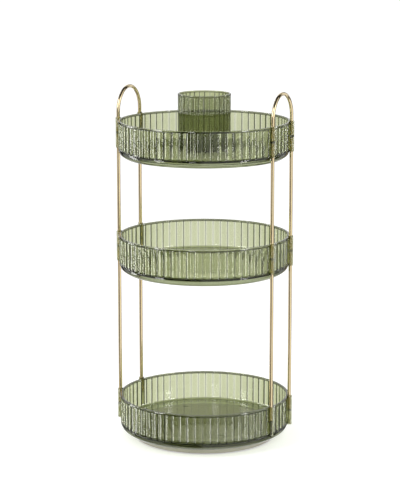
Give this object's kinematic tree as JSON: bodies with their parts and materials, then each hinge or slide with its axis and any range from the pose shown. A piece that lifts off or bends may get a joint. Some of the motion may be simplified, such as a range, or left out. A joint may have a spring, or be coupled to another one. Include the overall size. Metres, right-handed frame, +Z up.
{
  "type": "rotating vanity organizer",
  "caption": "Round carousel of open fluted trays in clear green plastic on slim gold rods, with hoop handles, a loose cup and a turntable base.",
  "frame": {"origin": "on the ground under the turning axis, at the underside of the foot pads", "axes": "+Z up along the turning axis, X through the middles of the two hoop handles"},
  "size_m": [0.2414, 0.24, 0.4962],
  "materials": {
    "clear_green_plastic": "clear tinted, polished",
    "gold_plating": "polished champagne gold plating on steel rod",
    "pale_plastic": "satin moulded, warm white",
    "cage_plastic": "moulded grey",
    "pad_rubber": "matt",
    "steel": "bright zinc"
  },
  "bodies": {
    "base": {"base_disc": "pale_plastic", "foot_pad_1": "pad_rubber", "foot_pad_2": "pad_rubber", "foot_pad_3": "pad_rubber", "foot_pad_4": "pad_rubber", "foot_pad_5": "pad_rubber", "foot_pad_6": "pad_rubber"},
    "ball_race": {"ball_cage": "cage_plastic", "steel_balls": "steel"},
    "carousel": {"rotor_plate": "pale_plastic", "rotor_screws": "steel", "pivot_bolt": "steel", "thrust_washer": "steel", "pivot_nut": "steel", "bottom_tray": "clear_green_plastic", "middle_tray": "clear_green_plastic", "top_tray": "clear_green_plastic", "lower_rod_1": "gold_plating", "lower_rod_2": "gold_plating", "lower_rod_3": "gold_plating", "lower_rod_4": "gold_plating", "upper_rod_1": "gold_plating", "upper_rod_2": "gold_plating", "upper_rod_3": "gold_plating", "upper_rod_4": "gold_plating", "handle_right": "gold_plating", "handle_left": "gold_plating"},
    "cup": {"brush_cup": "clear_green_plastic"}
  },
  "joints": [
    {"name": "carousel_spin", "type": "hinge", "parent": "base", "child": "carousel", "pos_m": [0, 0, 0.01265], "axis": [0, 0, 1], "continuous": true},
    {"name": "ball_race_spin", "type": "hinge", "parent": "base", "child": "ball_race", "pos_m": [0, 0, 0.01265], "axis": [0, 0, 1], "continuous": true},
    {"name": "cup_lift", "type": "slide", "parent": "carousel", "child": "cup", "axis": [0, 0, 1], "range_m": [0, 0.1]}
  ],
  "couplings": [
    {"joint": "ball_race_spin", "follows": "carousel_spin", "ratio": 0.5}
  ]
}
